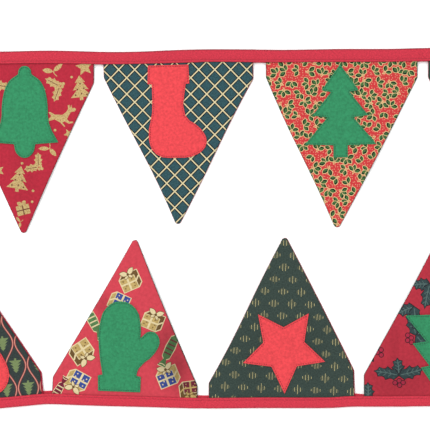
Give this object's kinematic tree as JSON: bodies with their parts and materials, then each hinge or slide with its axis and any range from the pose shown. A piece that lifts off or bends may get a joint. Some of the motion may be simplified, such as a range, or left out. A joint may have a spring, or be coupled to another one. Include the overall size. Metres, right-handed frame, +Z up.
{
  "type": "fabric bunting",
  "caption": "String of double-sided triangular cloth flags with felt shapes, sewn into a folded binding and laid flat so that it doubles back on itself.",
  "frame": {"origin": "middle of the whole string's box, on the surface that it lies on", "axes": "+X along the two rows, from the binding's turn to its two ends; +Y from the lower row to the upper row; +Z up from the surface, out of the flags' fronts"},
  "size_m": [0.9509, 0.4016, 0.0066],
  "materials": {
    "binding": "plain-weave cotton bias binding with a pressed fold and a line of stitching",
    "gold_print_cotton": "crimson printed cotton with gold figures and dots",
    "lattice_cotton": "deep teal printed cotton with a cream diagonal lattice",
    "sprig_cotton": "scarlet printed cotton with small green and gold leaf sprigs and pale dots",
    "pin_dot_cotton": "dark green printed cotton with small gold dots",
    "ogee_cotton": "dark green printed cotton with a salmon ogee trellis and small fir trees",
    "parcel_cotton": "scarlet printed cotton with ribboned boxes",
    "lozenge_cotton": "dark green printed cotton with small lozenges of gold dashes",
    "holly_cotton": "deep red printed cotton with large dark holly sprigs",
    "crimson_lining": "plain crimson cotton",
    "green_lining": "plain dark green cotton",
    "green_felt": "green craft felt, matt and slightly fuzzy",
    "red_felt": "bright red craft felt, matt and slightly fuzzy"
  },
  "bodies": {
    "root": {"binding": "binding", "gold_print_back": "green_lining", "gold_print_front": "gold_print_cotton", "gold_print_felt": "green_felt", "lattice_back": "crimson_lining", "lattice_front": "lattice_cotton", "lattice_felt": "red_felt", "sprig_back": "green_lining", "sprig_front": "sprig_cotton", "sprig_felt": "green_felt", "pin_dot_back": "crimson_lining", "pin_dot_front": "pin_dot_cotton", "pin_dot_felt": "red_felt", "ogee_back": "crimson_lining", "ogee_front": "ogee_cotton", "ogee_felt": "red_felt", "parcel_back": "green_lining", "parcel_front": "parcel_cotton", "parcel_felt": "green_felt", "lozenge_back": "crimson_lining", "lozenge_front": "lozenge_cotton", "lozenge_felt": "red_felt", "holly_back": "green_lining", "holly_front": "holly_cotton", "holly_felt": "green_felt"}
  },
  "joints": []
}
